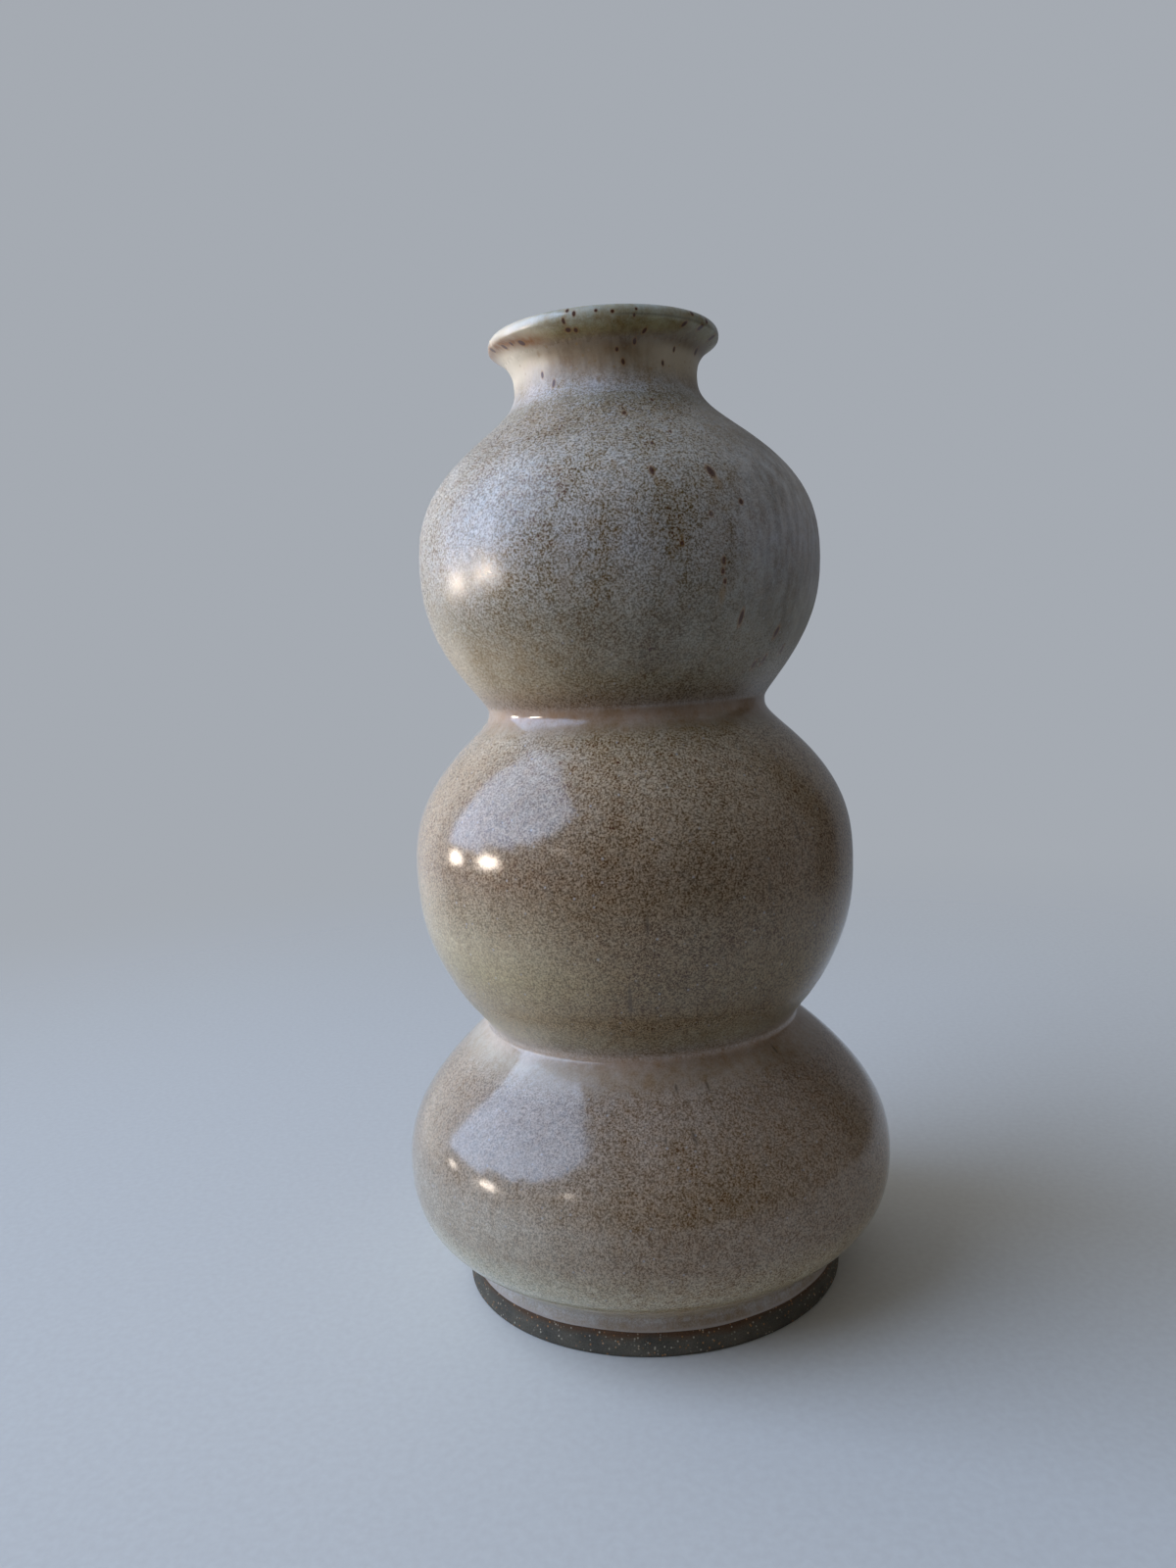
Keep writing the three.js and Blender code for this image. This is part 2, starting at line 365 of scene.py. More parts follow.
HAIRLINE = 0.05 * MM  # between a coat of glaze and the clay
floor_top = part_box("liner_glaze")[0].z - HAIRLINE
FLOOR_FLAT = 36 * MM  # the floor sweeps up into the wall beyond this radius
FLOOR_SWEEP = 0.6
sweep_start = Vector((FLOOR_FLAT, floor_top))
sweep_end = Vector((lower_belly.x - clay_inside, lower_belly.y))
floor_sweep = [
    (at, -out)
    for at, out in station_run(
        sweep_start,
        sweep_start + Vector((FLOOR_SWEEP * (sweep_end.x - sweep_start.x), 0)),
        sweep_end - Vector((0, FLOOR_SWEEP * (sweep_end.y - sweep_start.y))),
        sweep_end,
        HALF_BULB_ROWS,
    )
]
floor_middle = Vector((0, floor_top))
floor_disc = run(floor_middle, sweep_start, 12)[:-1]

underside = run(Vector((0, foot_shoulder)), Vector((bulb_foot_radius, foot_shoulder)), 24)
lower_bulb = turn(
    "lower_bulb",
    underside,
    [
        *under(lower_wall, glaze_thickness)[1:],
        *under(lower_close, clay_inside)[::-1],
        *under(floor_sweep, 0)[::-1][1:],
        *floor_disc[::-1],
    ],
)
lower_bulb.data.materials.append(bare_clay)
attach(lower_bulb, "root")
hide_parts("lower_bulb")

# Middle and upper bulbs
# Two more thrown sections, each a round bulb open at both ends, scored and set rim to rim on the one below.
# The upper one is drawn in further, to the neck. Glaze covers them inside and out.

upper_waist = waist_of("upper_waist_slip_joint")
neck_joint = waist_of("neck_slip_joint")
middle_belly, upper_belly = belly_of("middle_bulb"), belly_of("upper_bulb")
middle_wall = joined(
    half_bulb(lower_waist[1], middle_belly, 0.08, 0.69), half_bulb(middle_belly, upper_waist[0], 0.67, 0.14),
)
upper_wall = joined(
    half_bulb(upper_waist[1], upper_belly, 0.09, 0.63), half_bulb(upper_belly, neck_joint[0], 0.65, 0.27),
)
for name, stations in (("middle_bulb", middle_wall), ("upper_bulb", upper_wall)):
    piece = turn(name, under(stations, glaze_thickness), under(stations, clay_inside)[::-1])
    piece.data.materials.append(bare_clay)
    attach(piece, "root")
    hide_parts(name)

# Slip joints of the waists and the neck
# Bands of joining slip, a millimetre thick, between one section and the next. They were pressed and smoothed
# over with the wheel turning, so that the sections run into each other.

JOINT_ROWS = 3
SIDEWAYS = Vector((1, 0))
joint_runs = {}
for name, (low, high) in (
    ("lower_waist_slip_joint", lower_waist),
    ("upper_waist_slip_joint", upper_waist),
    ("neck_slip_joint", neck_joint),
):
    joint_runs[name] = [(at, SIDEWAYS) for at in run(low, high, JOINT_ROWS)]
    piece = turn(name, under(joint_runs[name], glaze_thickness), under(joint_runs[name], clay_inside)[::-1])
    piece.data.materials.append(slip_clay)
    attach(piece, "root")
    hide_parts(name)

# Neck and lip
# The top section, thrown narrow, flared with the fingers and rolled over into a round lip, with a throat that
# runs down smoothly inside to the joint. The rim glaze covers it all round.

lip_radius, lip_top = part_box("rim_glaze")[1].x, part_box("rim_glaze")[1].z
LIP_ROLL = 2.4 * MM
FLARE_SLOPE, FLARE_UPRIGHT, FLARE_INTO_LIP = math.radians(70), 7.2 * MM, 0.8 * MM
THROAT_SLOPE, THROAT_STRAIGHT = math.radians(50), 5 * MM
FLARE_ROWS, LIP_ROWS = 22, 26
lip_centre = Vector((lip_radius - LIP_ROLL, lip_top - LIP_ROLL))
flare_angle, throat_angle = FLARE_SLOPE - math.pi / 2, THROAT_SLOPE + math.pi / 2


def on_lip(angle):
    out = Vector((math.cos(angle), math.sin(angle)))
    return lip_centre + LIP_ROLL * out, out


flare_top, throat_top = on_lip(flare_angle)[0], on_lip(throat_angle)[0]
throat_foot = Vector((neck_joint[1].x - clay_inside - glaze_thickness, neck_joint[1].y))
flare = station_run(
    neck_joint[1],
    neck_joint[1] + Vector((0, FLARE_UPRIGHT)),
    flare_top - FLARE_INTO_LIP * Vector((math.cos(FLARE_SLOPE), math.sin(FLARE_SLOPE))),
    flare_top,
    FLARE_ROWS,
)
lip = [on_lip(flare_angle + (throat_angle - flare_angle) * i / LIP_ROWS) for i in range(LIP_ROWS + 1)]
throat = station_run(
    throat_top,
    throat_top - THROAT_STRAIGHT * Vector((math.cos(THROAT_SLOPE), math.sin(THROAT_SLOPE))),
    throat_foot + Vector((0, THROAT_STRAIGHT)),
    throat_foot,
    FLARE_ROWS,
)
neck = joined(flare, lip, throat)
neck_and_lip = turn("neck_and_lip", under(neck, glaze_thickness), [])
neck_and_lip.data.materials.append(bare_clay)
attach(neck_and_lip, "root")
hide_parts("neck_and_lip")

# Liner glaze
# A pale grey-green glaze that was poured in, swilled round and poured out, so that the pot holds water. It
# covers the floor and the walls up to the throat.

LINER = 0.5 * MM
inside_wall = joined(
    lower_close,
    joint_runs["lower_waist_slip_joint"],
    middle_wall,
    joint_runs["upper_waist_slip_joint"],
    upper_wall,
    joint_runs["neck_slip_joint"],
)


def liner_run(depth):
    """The liner's outline from the middle of the floor to the throat, a given depth off the clay."""
    lift = Vector((0, depth))
    return [
        *[at + lift for at in floor_disc],
        *under(floor_sweep, -depth),
        *under(inside_wall, clay_inside + depth)[1:],
    ]


liner_glaze = turn("liner_glaze", liner_run(LINER)[::-1], liner_run(HAIRLINE))

# Poured liner glaze, fired glossy: pale grey-green over a dark body, thin and warmer where it ran off the
# finger ridges, with a soft pooled gloss and a few iron specks.
liner_finish = finish("poured_pale_liner_glaze")
tree = liner_finish.node_tree
place = put(tree, "TexCoord", {}).outputs["Object"]
POURED, POUR_SQUEEZE, POUR_DEPTH, LINER_SPECK = 14 * MM, 0.35, 0.08 * MM, 5 * MM
running = put(tree, "Mapping", {"Vector": place, "Scale": (1, 1, POUR_SQUEEZE)})
cloud = noise(tree, running, POURED, 4)
shade = put(tree, "ValToRGB", {0: cloud}, stops=[(0.3, "#8d8676"), (0.5, "#a5a296"), (0.72, "#b1b2a8")])
speck = put(tree, "TexVoronoi", {"Vector": place, "Scale": 1 / LINER_SPECK})
kind = put(tree, "SeparateColor", {0: speck.outputs["Color"]})
chosen = put(tree, "Math", {0: kind, 1: 0.6}, operation="GREATER_THAN")
dot = eased(tree, speck.outputs["Distance"], 0.13, 0.07)
specked = painted(tree, product(tree, dot, chosen), shade, "#5a3a20")
gloss = scaled(tree, cloud, 0.3, 0.7, 0.2, 0.12)
relief = put(tree, "Bump", {"Strength": 1.0, "Distance": POUR_DEPTH, "Height": cloud})
surface = put(
    tree, "BsdfPrincipled", {"Base Color": specked, "Roughness": gloss, "IOR": 1.52, "Normal": relief},
)
put(tree, "OutputMaterial", {0: surface})

liner_glaze.data.materials.append(liner_finish)
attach(liner_glaze, "root")
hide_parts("liner_glaze")

# Body glaze
# The outer coat. The pot was dipped, so the glaze runs in one skin from the wiped line on the foot up to the
# neck. It ends in a rounded, slightly wavy edge, pulls smooth in the waists and curdles elsewhere.

glaze_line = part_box("body_glaze")[0].z
LINE_WAVE = 0.32 * MM  # how far the wiped line wanders up and down
WAVE_FADES = 4 * MM  # above the line


def dipped(radius, angle, height):
    """As thrown, with the lower edge of the glaze wandering."""
    fade = 1 - smooth((height - glaze_line) / WAVE_FADES)
    waves = ((0.5, 3, 0.6), (0.3, 7, 2), (0.2, 16, 0))  # share, how many round the foot, and phase
    wave = sum(share * math.sin(count * angle + phase) for share, count, phase in waves)
    return thrown(radius, angle, height + LINE_WAVE * fade * wave)


glazed_foot = [
    (at + glaze_thickness * SIDEWAYS, SIDEWAYS)
    for at in run(foot_side(glaze_line), foot_side(foot_shoulder), 8)
]
outside = joined(
    glazed_foot,
    lower_wall,
    joint_runs["lower_waist_slip_joint"],
    middle_wall,
    joint_runs["upper_waist_slip_joint"],
    upper_wall,
    joint_runs["neck_slip_joint"],
)
edge_low = foot_side(glaze_line) + HAIRLINE * SIDEWAYS
edge_corner = foot_side(glaze_line) + glaze_thickness * SIDEWAYS
EDGE_ROUND = 0.45 * MM
edge = rounded(edge_corner, edge_low, outside[1][0], EDGE_ROUND)
body_glaze = turn(
    "body_glaze",
    [edge_low, *edge, *under(outside, 0)[1:]],
    under(outside, glaze_thickness - HAIRLINE)[:0:-1],
    settle=dipped,
)

# Iron-speckled stoneware glaze, dipped and fired in a reducing kiln: tan over the dark body, curdled into
# fine blue-white flecks, smooth and glossy where it pooled in the waists, satin on the upper bulb, white
# round the neck where it met the rim glaze, with rust-brown spots where iron in the clay bled up through it.
speckled_glaze = finish("dipped_iron_speckled_glaze")
tree = speckled_glaze.node_tree
place = put(tree, "TexCoord", {}).outputs["Object"]
axes = put(tree, "SeparateXYZ", {0: place})
side, away, height = axes.outputs["X"], axes.outputs["Y"], axes.outputs["Z"]

# Curds are about half a millimetre across. On the right of the upper bulb and on the neck the glaze has run,
# and they are drawn out upright into streaks. Under them lie slower tints, mottles and patches.
CURD, STREAK, TINT, MOTTLE, PATCH = 0.5 * MM, 1.7 * MM, 2.3 * MM, 9 * MM, 24 * MM
STREAK_SQUEEZE, MOTTLE_SQUEEZE = 0.22, 0.5  # their width, as a share of their length
curds = put(
    tree, "TexNoise",
    {"Vector": place, "Scale": 1 / CURD, "Detail": 2, "Roughness": 0.7, "Distortion": 0.6},
).outputs["Fac"]
running = put(tree, "Mapping", {"Vector": place, "Scale": (1, 1, STREAK_SQUEEZE)})
streaks = noise(tree, running, STREAK, 3)
tints = noise(tree, place, TINT, 2)
drawn_out = put(tree, "Mapping", {"Vector": place, "Scale": (1, 1, MOTTLE_SQUEEZE)})
mottles = noise(tree, drawn_out, MOTTLE, 3)
patches = noise(tree, place, PATCH, 3)

# The zones of the glaze follow the height, along lines that wander and are ragged by the curds.
TALL = lip_top
WANDER, RAGGED = 3 * MM, 2.6 * MM
wandering = scaled(tree, patches, 0, 1, -WANDER / 2, WANDER / 2, clamp=False)
ragged = scaled(tree, curds, 0, 1, -RAGGED / 2, RAGGED / 2, clamp=False)
uneven = put(tree, "Math", {0: wandering, 1: ragged})
wandered = put(tree, "Math", {0: uneven, 1: height})
level = put(tree, "Math", {0: wandered, 1: TALL}, operation="DIVIDE")
ragged_height = put(tree, "Math", {0: ragged, 1: height})
straight_level = put(tree, "Math", {0: ragged_height, 1: TALL}, operation="DIVIDE")


def by_height(share, *stops):
    """A ramp of colours or shares up the vase, each with its height in millimetres."""
    return put(tree, "ValToRGB", {0: share}, stops=[(up * MM / TALL, shade) for up, shade in stops])


# The coat between the curds is pinkish grey where it is thick on the foot and in the waists, and thinner and
# browner on the bellies. At the top it turns white, and over the lip a greenish grey.
coat = by_height(
    level, (6, "#9b8978"), (9, "#a29383"), (13, "#bca681"), (19, "#a5916f"), (30, "#846d53"),
    (64, "#836d58"), (69, "#9a846d"), (72, "#9f846d"), (74, "#877664"), (77, "#817157"), (84, "#735d40"),
    (95, "#776242"), (120, "#79634c"), (145, "#8d775c"), (153, "#928067"), (157, "#967c67"),
    (160, "#71604e"), (166, "#786b53"), (180, "#796e5b"), (197, "#8e8479"), (216, "#a09381"),
    (230, "#8d7d66"), (234.5, "#877b65"), (235.5, "#9b9285"), (238, "#a1968b"), (240, "#9d8d7b"),
    (243, "#947f65"), (246, "#877053"), (249, "#766145"), (251, "#8a7c50"), (253, "#a39e88"),
    (255, "#b6b4a4"),
)
curdling = by_height(
    straight_level, (6, 0.1), (11, 0.3), (19, 0.8), (64, 0.8), (67.5, 0.15), (72.6, 0.15), (73.8, 0.8),
    (77, 1.0), (151, 1.0), (154, 0.12), (158.2, 0.12), (160, 0.76), (195, 0.87), (232, 0.9), (237, 0.55),
    (243, 0.26), (250, 0.22), (255, 0.1),
)
glossing = by_height(
    straight_level, (6, 0.12), (35, 0.06), (65, 0.06), (69, 0.06), (71, 0.07), (71.8, 0.22), (73.6, 0.35),
    (80, 0.35), (90, 0.07), (150, 0.07), (155, 0.04), (158, 0.04), (159.5, 0.3), (166, 0.23), (180, 0.23),
    (216, 0.27), (232, 0.32), (240, 0.5), (244, 0.42), (250, 0.22), (252.5, 0.09), (255, 0.08),
)

# The glaze has run on the right of the upper bulb, which leaves fewer curds there, and up on the neck. Each
# pair says where that starts to show and where it shows fully.
RUN_SIDE, RUN_FAR = (14 * MM, 46 * MM), (37 * MM, 46 * MM)
RUN_HEIGHT, NECK_RUN = (165 * MM, 182 * MM), (238 * MM, 243 * MM)
RUN_SHARE, NECK_SHARE, RUN_CURDS = 0.55, 0.6, 0.55
run_height = eased(tree, wandered, *RUN_HEIGHT)
bulb_run = product(tree, eased(tree, side, *RUN_SIDE, 0, RUN_SHARE), run_height)
neck_run = eased(tree, wandered, *NECK_RUN, 0, NECK_SHARE)
run_share = put(tree, "Math", {0: bulb_run, 1: neck_run}, operation="MAXIMUM")
pattern = put(tree, "Mix", {0: run_share, 2: curds, 3: streaks})
curd = eased(tree, pattern, 0.35, 0.65, -0.85, 1.25)
smoothed = scaled(tree, bulb_run, 0, 0.4, 1, RUN_CURDS)
curd_share = product(tree, product(tree, curd, curdling), smoothed)

# How far each of these shifts the coat, in shares of its red, green and blue.
CURD_SHIFT, TINT_SHIFT = (0.73, 0.87, 1.09), (-0.1, -0.18, -0.3)
MOTTLE_SHIFT, PATCH_SHIFT = (-0.19, -0.25, -0.37), (-0.02, -0.05, -0.09)
RUN_SHIFT, FAR_SHIFT = (0.28, 0.52, 1.1), (0.42, 0.46, 0.55)  # where it has run, and still further round
UPPER = (150 * MM, 175 * MM)  # over this height the middle bulb's surface gives way to the upper one's
LOWER_MOTTLES = 0.45
LEFT = (4 * MM, -40 * MM)
mottling = scaled(tree, height, *UPPER, LOWER_MOTTLES, 1)
mottle_share = product(tree, scaled(tree, mottles, 0.34, 0.66, -1, 1), mottling)
far_share = product(tree, eased(tree, side, *RUN_FAR), run_height)

# Painted light: low on the left of each bulb the coat is made paler and bluer where light falls, with a
# painted highlight in the lower waist, and high on the left of the upper one it is darker as painted shade.
# These are multiples of the coat's red, green and blue.
painted_left_light_times = by_height(
    level, (8, (1.25, 1.4, 1.55)), (13, (1.58, 1.95, 2.5)), (38, (1.58, 1.97, 2.5)), (45, (1.3, 1.47, 1.68)),
    (52, (0.95, 1.03, 1.12)), (62, (0.95, 1, 1.04)), (70, (1.42, 1.72, 2.05)), (77, (1.65, 1.92, 2.25)),
    (84, (2.1, 2.55, 3.2)), (102, (2.15, 2.65, 3.4)), (110, (1.5, 1.75, 2.0)), (120, 1.0), (157, 1.0),
    (163, (1.65, 1.62, 1.55)), (172, (1.6, 1.55, 1.45)), (182, (1.1, 1.12, 1.12)), (190, (0.92, 0.92, 0.9)),
    (205, (0.79, 0.77, 0.73)), (216, (0.78, 0.76, 0.72)), (224, (0.85, 0.84, 0.83)), (236, 1.0),
)
# Painted light and shade: how far the coat on the left is lifted or lowered from its own colour.
painted_left_light_shift = put(tree, "VectorMath", {0: painted_left_light_times, 1: (1, 1, 1)}, operation="SUBTRACT")
shift = None
for part, share in (
    (TINT_SHIFT, scaled(tree, tints, 0.3, 0.7, -1, 1)),
    (PATCH_SHIFT, scaled(tree, patches, 0.3, 0.7, -1, 1)),
    (MOTTLE_SHIFT, mottle_share),
    (RUN_SHIFT, bulb_run),
    (FAR_SHIFT, far_share),
    (painted_left_light_shift, eased(tree, side, *LEFT)),
    (CURD_SHIFT, curd_share),
):
    more = put(tree, "VectorMath", {0: part, 3: share}, operation="SCALE")
    shift = more if shift is None else put(tree, "VectorMath", {0: shift, 1: more})
curdled = put(tree, "VectorMath", {0: coat, 1: shift, 2: coat}, operation="MULTIPLY_ADD")

# Here and there a larger curd shows as a pale blue-white fleck.
FLECK = 2.3 * MM
fleck = put(tree, "TexVoronoi", {"Vector": place, "Scale": 1 / FLECK})
fleck_kind = put(tree, "SeparateColor", {0: fleck.outputs["Color"]})
fleck_dot = eased(tree, fleck.outputs["Distance"], 0.18, 0.08)
fleck_here = product(tree, fleck_dot, scaled(tree, fleck_kind, 0.4, 0.9, 0, 0.6))
flecked = painted(tree, product(tree, fleck_here, curdling), curdled, "#b2b4b7")


def away_from(value, target):
    off = put(tree, "Math", {0: value, 1: target}, operation="SUBTRACT")
    return put(tree, "Math", {0: off}, operation="ABSOLUTE")


# Under the white neck the curds join into short pale worms.
WORM = 1.9 * MM
worm = eased(tree, away_from(noise(tree, place, WORM, 1), 0.5), 0.045, 0.015)
broken = scaled(tree, curds, 0.42, 0.55, 0, 0.75)
worm_zone = by_height(level, (205, 0.0), (222, 0.6), (233, 1.0), (237, 0.6), (239, 0.0))
worm_share = product(tree, product(tree, worm, broken), worm_zone)
wormed = painted(tree, worm_share, flecked, "#bfc0c4")

# On both sides of the neck the coat is painted pale cream as painted light where the light falls, on the left
# right up to the lip.
CREAM_LEFT, CREAM_RIGHT = (-11 * MM, -26 * MM), (4 * MM, 18 * MM)
CREAM_FROM, NECK_ONLY = (238 * MM, 244 * MM), (249 * MM, 246 * MM)
lit_cream_left = eased(tree, side, *CREAM_LEFT, 0, 0.85)
lit_cream_right = product(tree, eased(tree, side, *CREAM_RIGHT, 0, 0.65), eased(tree, height, *NECK_ONLY))
painted_light_sides = put(tree, "Math", {0: lit_cream_left, 1: lit_cream_right}, operation="MAXIMUM")
painted_light_share = product(tree, painted_light_sides, eased(tree, wandered, *CREAM_FROM))
painted_light_creamed = painted(tree, painted_light_share, wormed, "#d8cab1")

# The neck has faint tan freckles.
FRECKLE = 1.5 * MM
freckle = put(tree, "TexVoronoi", {"Vector": place, "Scale": 1 / FRECKLE})
freckle_kind = put(tree, "SeparateColor", {0: freckle.outputs["Color"]})
freckle_dot = eased(tree, freckle.outputs["Distance"], 0.34, 0.12)
freckle_here = product(tree, freckle_dot, scaled(tree, freckle_kind, 0.55, 0.95, 0, 0.5))
freckle_zone = by_height(level, (237, 0.0), (240, 1.0), (249, 1.0), (251, 0.3), (253, 0.0))
freckled = painted(tree, product(tree, freckle_here, freckle_zone), painted_light_creamed, "#96702e")

# The rim glaze broke to rust along the outside of the lip on the left, where the line climbs.
RUST_HEIGHT, RUST_CLIMB, RUST_REACH = 246.8 * MM, 0.176, 1.9 * MM
RUST_SIDE, LIP_OUTSIDE = (-11 * MM, -20 * MM), (25.5 * MM, 27 * MM)
rust_line = put(tree, "Math", {0: side, 1: RUST_CLIMB, 2: height}, operation="MULTIPLY_ADD")
rust_near = eased(tree, away_from(rust_line, RUST_HEIGHT), RUST_REACH, 0)
flat = put(tree, "VectorMath", {0: place, 1: (1, 1, 0)}, operation="MULTIPLY")
from_axis = put(tree, "VectorMath", {0: flat}, operation="LENGTH").outputs["Value"]
outer_side = scaled(tree, from_axis, *LIP_OUTSIDE, 0, 1)
rust_left = product(tree, rust_near, eased(tree, side, *RUST_SIDE))
rust_here = product(tree, rust_left, outer_side)
rust_share = product(tree, rust_here, scaled(tree, streaks, 0.3, 0.6, 0.6, 1))
rusted = painted(tree, rust_share, freckled, "#84500a")

# Iron spots. Each has its azimuth from the viewer's side round to the right, its height, its width and
# length in millimetres, and how far its top leans to the right in degrees.
SPOT_DEPTH = 4 * MM
LIP_SPOT_DEPTH, LIP_FROM = 1.4 * MM, 249.5  # the lip turns away too fast for deep ones
skin = [*outside, *flare[1:], *lip[1:len(lip) // 2]]


def nearest_of(spots):
    """How far a place is from the nearest of some spots, in shares of that spot's own size."""
    nearest = None
    for azimuth, up, wide, long, lean in spots:
        turned = math.radians(azimuth)
        radius = min(skin, key=lambda station: abs(station[0].y - up * MM))[0].x
        depth = SPOT_DEPTH if up < LIP_FROM else LIP_SPOT_DEPTH
        local = put(
            tree, "Mapping",
            {
                "Vector": place, "Location": thrown(radius, turned - math.pi / 2, up * MM),
                "Rotation": (0, math.radians(lean), turned), "Scale": (wide * MM / 2, depth, long * MM / 2),
            },
            vector_type="TEXTURE",
        )
        off = put(tree, "VectorMath", {0: local}, operation="LENGTH").outputs["Value"]
        nearest = off if nearest is None else put(tree, "Math", {0: nearest, 1: off}, operation="MINIMUM")
    return nearest


rim_spots = [
    (-15.8, 254.5, 1, 1.2, 10), (-12.5, 253.5, 1, 1.6, 0), (-17.9, 252.2, 0.9, 1.7, 0),
    (-17.3, 250.6, 1.7, 1.1, 0), (-13.4, 250.4, 1.2, 1.1, 0), (-2.3, 253.7, 0.9, 0.9, 0),
    (5.2, 253.3, 1, 1, 0), (16.3, 253.8, 0.8, 0.8, 0), (15.3, 252.4, 0.7, 1, 0), (22.7, 249.8, 1, 1.8, 35),
    (18, 247.6, 1.1, 1.7, 0), (7.8, 245.9, 1, 1.2, 0), (11.1, 243, 1, 1.8, -8), (36.9, 243.1, 0.9, 1.6, 0),
    (45.3, 246.7, 0.9, 1.5, 0), (43.9, 251.7, 1.4, 1.8, 30), (48, 254.4, 1.5, 1.5, 20),
    (56.3, 251.8, 1.8, 2.2, 25), (69, 247.9, 1.9, 2, 10), (60, 253.6, 1.6, 1.4, 20),
    (75, 251.4, 2.2, 2.4, 10), (-40.4, 242.3, 1, 2, -6), (-31.7, 239.5, 1.1, 2.4, 0),
    (-47.7, 250.4, 1.5, 2.6, -60), (-62.2, 251.1, 1.5, 2, -40), (-75, 251.9, 2, 2.2, -20),
    (-55, 250.9, 1, 1.3, -40),
]
bulb_spots = [
    (26.8, 212.3, 2, 3.6, -25), (10.2, 212.6, 1.3, 2.4, -10), (33.8, 205.2, 1.4, 1.5, 0),
    (24.2, 202.3, 1.3, 1.4, 0), (15.8, 195.8, 1.1, 1.3, 0), (12.2, 219.6, 1, 1, 0), (27, 191.7, 1.1, 2.2, 0),
    (26.8, 189.3, 1.1, 1.5, 0), (27.5, 187, 1, 1.4, 0), (34.2, 178.7, 1.3, 4.2, 6),
    (51.2, 174.9, 1.7, 3.4, 12), (51, 168.4, 1.4, 3, 14), (46.8, 167.3, 1.3, 2.6, 14),
    (60, 170.5, 1.6, 2.6, 14), (6.3, 228.6, 1.2, 1.4, 0), (21.3, 232.6, 0.9, 0.9, 0),
    (19.8, 222.8, 0.9, 0.9, 0),
]
iron_near = nearest_of([*rim_spots, *bulb_spots])

# Round the back, smaller specks are scattered, most of them on the neck and lip.
SPECK, SPECK_TALL = 5.5 * MM, 0.6  # spacing, and upright against across
SPECK_BACK, SPECK_NECK, SPECK_FROM = (-4 * MM, 4 * MM), (225 * MM, 245 * MM), 160 * MM
NOWHERE = 9  # further off than any halo reaches
squeezed = put(tree, "Mapping", {"Vector": place, "Scale": (1, 1, SPECK_TALL)})
speck = put(tree, "TexVoronoi", {"Vector": squeezed, "Scale": 1 / SPECK})
speck_kind = put(tree, "SeparateColor", {0: speck.outputs["Color"]})
speck_zone = scaled(tree, height, *SPECK_NECK, 0.06, 0.55)
speck_wanted = put(tree, "Math", {0: speck_kind, 1: speck_zone}, operation="LESS_THAN")
speck_upper = put(tree, "Math", {0: height, 1: SPECK_FROM}, operation="GREATER_THAN")
speck_here = product(tree, speck_wanted, speck_upper)
speck_share = product(tree, speck_here, scaled(tree, away, *SPECK_BACK, 0, 1))
speck_dot = scaled(tree, speck.outputs["Distance"], 0, 0.1, 0, 1, clamp=False)
speck_off = scaled(tree, speck_share, 0, 1, NOWHERE, 0)
speck_near = put(tree, "Math", {0: speck_dot, 1: speck_off})
iron = put(tree, "Math", {0: iron_near, 1: speck_near}, operation="MINIMUM")
haloed = painted(tree, eased(tree, iron, 1.6, 0.7, 0, 0.6), rusted, "#9a6a30")
spotted = painted(tree, eased(tree, iron, 1.02, 0.62, 0, 0.97), haloed, "#431905")

# Faint tan stains where iron stayed under the surface, and runs of darker and of paler glaze.
stains = [
    (-3.7, 238.9, 1.1, 2.2, 0), (26, 238.8, 1, 1.6, 0), (-40.5, 247.2, 0.9, 1.6, 0),
    (0.5, 214.5, 1.5, 2.6, -10), (28, 209.8, 2.2, 3.4, -25), (10.9, 210.4, 1.1, 2.6, -10),
    (16, 197.4, 1.2, 1.6, 0), (27, 184, 2, 5, 0),
]
dark_runs = [
    (2.3, 109.8, 1, 6, 0), (-2.6, 90.9, 1.1, 12, 2), (42.2, 127.4, 1.2, 7, -8), (31.5, 115.7, 0.9, 5, 0),
    (10.9, 57.8, 1.2, 4.5, -12), (17.9, 66.5, 0.8, 2.5, 0), (8.8, 66.8, 0.8, 2, 0), (47.1, 69.5, 0.9, 2.4, 0),
    (4.2, 57.7, 0.7, 2, 0),
]
pale_runs = [(25.5, 199, 5, 24, 2), (13, 186, 4, 20, 2), (-14, 190, 4, 22, -2)]
stained = painted(tree, eased(tree, nearest_of(stains), 1.4, 0.3, 0, 0.55), spotted, "#8c6c3f")
darkened = painted(tree, eased(tree, nearest_of(dark_runs), 1.3, 0.3, 0, 0.65), stained, "#4a3a28")
paled = painted(tree, eased(tree, nearest_of(pale_runs), 1.2, 0.2, 0, 0.3), darkened, "#a89f97")

# A level groove line on the right half of the lip is darker, partly where the glaze is thin and partly as
# painted shade, and a pale bead lies on the wiped line.
GROOVE_HEIGHT, GROOVE_REACH, GROOVE_SIDE = 252.7 * MM, 0.5 * MM, (-1 * MM, 6 * MM)
groove_shade = eased(tree, away_from(height, GROOVE_HEIGHT), GROOVE_REACH, 0, 0, 0.45)
groove_shade_share = product(tree, groove_shade, eased(tree, side, *GROOVE_SIDE))
groove_shaded = painted(tree, groove_shade_share, paled, "#5c5a4e")
BEAD_TOP, BEAD_FULL = glaze_line + 1.1 * MM, glaze_line + 0.4 * MM
finished = painted(tree, eased(tree, height, BEAD_TOP, BEAD_FULL, 0, 0.7), groove_shaded, "#b0a298")

